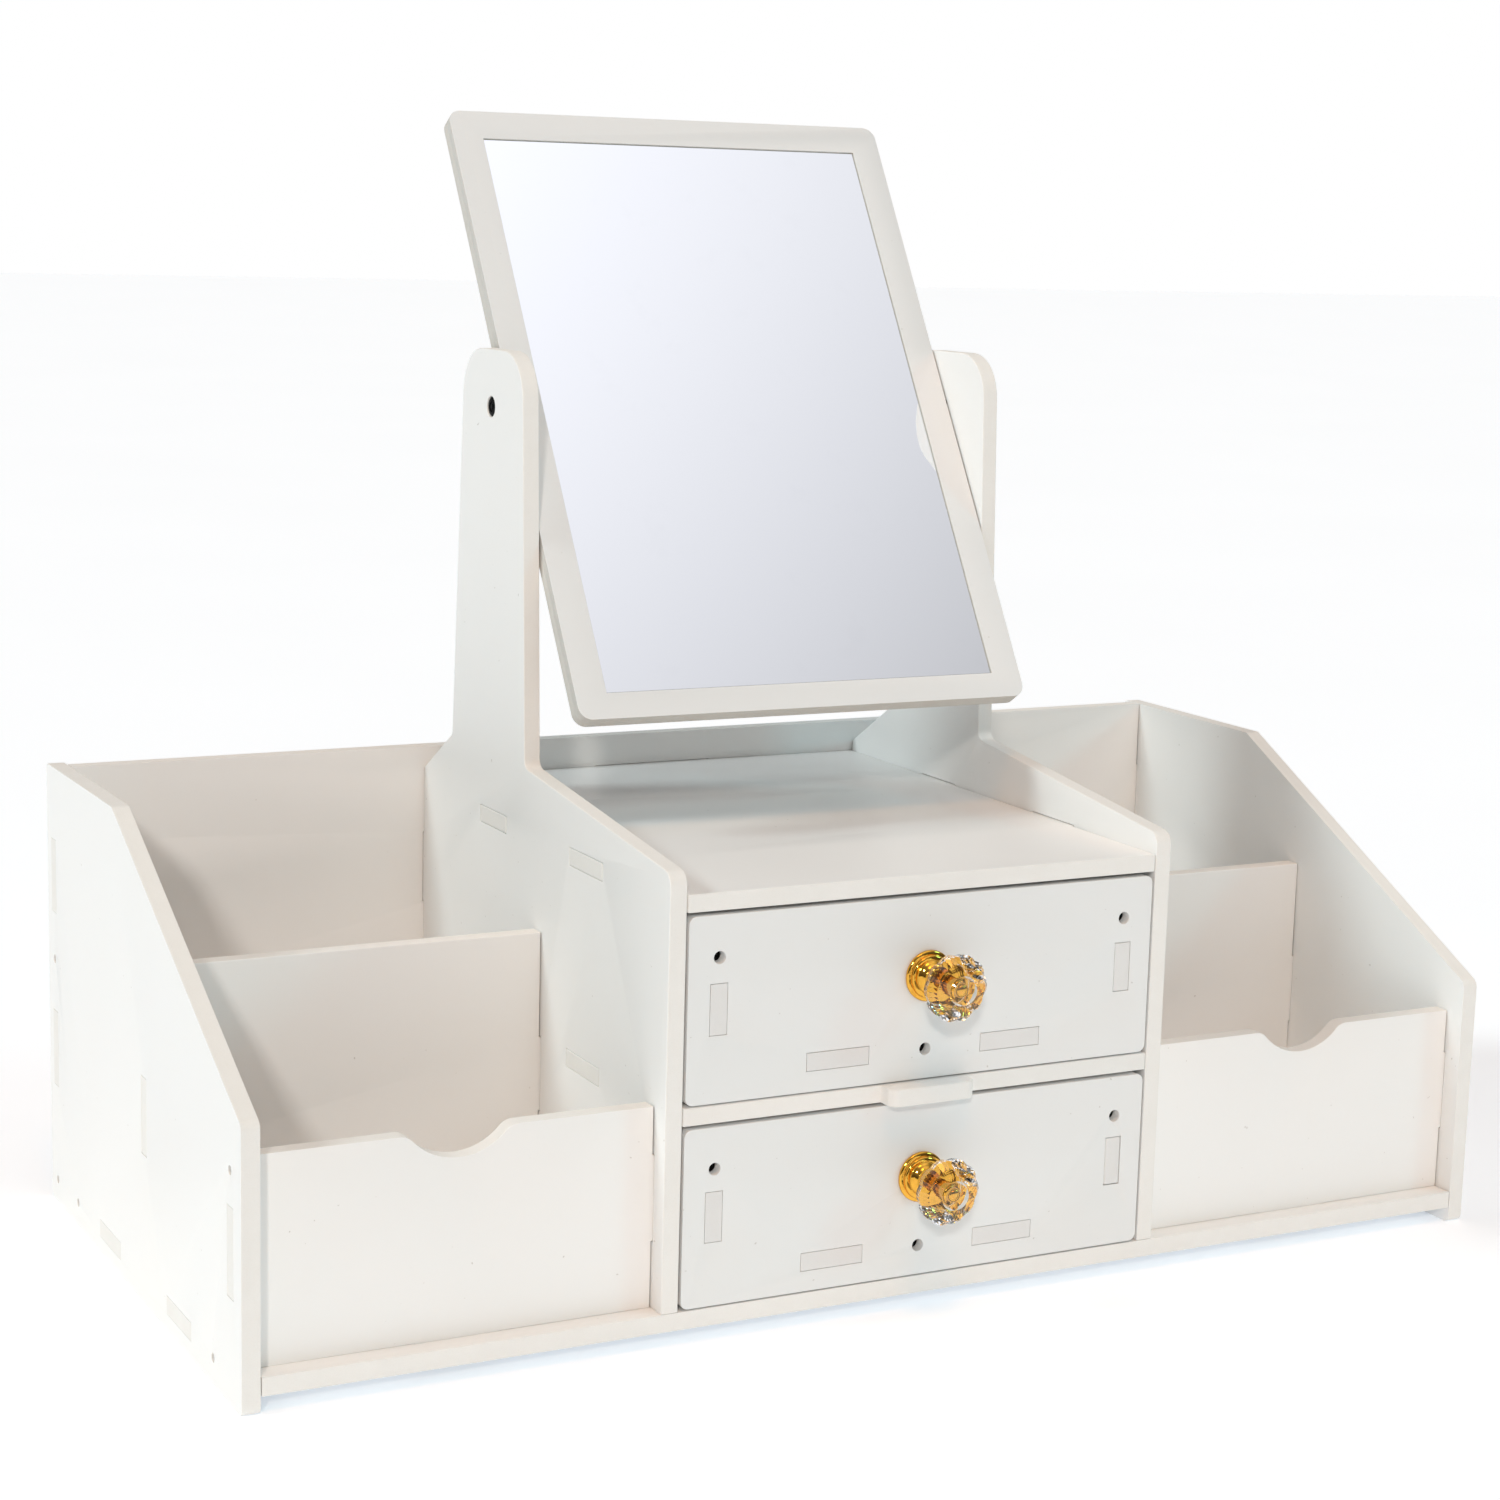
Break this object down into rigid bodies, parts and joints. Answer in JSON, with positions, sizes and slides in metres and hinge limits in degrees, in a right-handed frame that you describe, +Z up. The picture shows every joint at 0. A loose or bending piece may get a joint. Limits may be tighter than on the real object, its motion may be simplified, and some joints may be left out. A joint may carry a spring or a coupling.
{
  "type": "tabletop vanity organiser with mirror",
  "caption": "Table-top vanity organiser of slotted white boards: open bins at both sides, stacked drawers with crystal knobs between them, and a tilting rectangular mirror held by posts.",
  "frame": {"origin": "on the table, under the middle of the box that holds the whole object, crystal knobs included", "axes": "+Z up; +X to the right of someone facing the drawers, along the longest side; -Y is the way the drawers open"},
  "size_m": [0.39, 0.208, 0.3291],
  "materials": {
    "case_board": "smooth white foam board, plain cut edges",
    "drawer_board": "smooth white foam board, plain cut edges",
    "mirror_board": "smooth white foam board, plain cut edges",
    "mirror_glass": "silvered glass with polished edges",
    "gold": "polished gold plating",
    "crystal": "clear, faceted and polished",
    "steel": "bright zinc",
    "black_pin": "black"
  },
  "bodies": {
    "case": {"left_side_panel": "case_board", "right_side_panel": "case_board", "base_board": "case_board", "back_panel": "case_board", "left_divider": "case_board", "right_divider": "case_board", "top_shelf": "case_board", "middle_shelf": "case_board", "left_compartment_board": "case_board", "right_compartment_board": "case_board", "left_bin_front": "case_board", "right_bin_front": "case_board", "case_nails": "steel"},
    "upper_drawer": {"upper_drawer_front": "drawer_board", "upper_drawer_left_side": "drawer_board", "upper_drawer_right_side": "drawer_board", "upper_drawer_back": "drawer_board", "upper_drawer_bottom": "drawer_board", "upper_drawer_screws": "steel", "upper_knob_foot": "gold", "upper_knob_crystal": "crystal", "upper_knob_stud": "gold", "upper_knob_screw": "steel"},
    "lower_drawer": {"lower_drawer_front": "drawer_board", "lower_drawer_left_side": "drawer_board", "lower_drawer_right_side": "drawer_board", "lower_drawer_back": "drawer_board", "lower_drawer_bottom": "drawer_board", "lower_drawer_screws": "steel", "lower_knob_foot": "gold", "lower_knob_crystal": "crystal", "lower_knob_stud": "gold", "lower_knob_screw": "steel"},
    "mirror": {"mirror_frame": "mirror_board", "mirror_glass": "mirror_glass", "mirror_backing": "mirror_board", "left_pivot_pin": "black_pin", "right_pivot_pin": "black_pin"}
  },
  "joints": [
    {"name": "upper_drawer_slide", "type": "slide", "parent": "case", "child": "upper_drawer", "axis": [0, -1, 0], "range_m": [0, 0.13]},
    {"name": "lower_drawer_slide", "type": "slide", "parent": "case", "child": "lower_drawer", "axis": [0, -1, 0], "range_m": [0, 0.13]},
    {"name": "mirror_tilt", "type": "hinge", "parent": "case", "child": "mirror", "pos_m": [0, 0.0428, 0.2434], "axis": [1, 0, 0], "continuous": true}
  ]
}
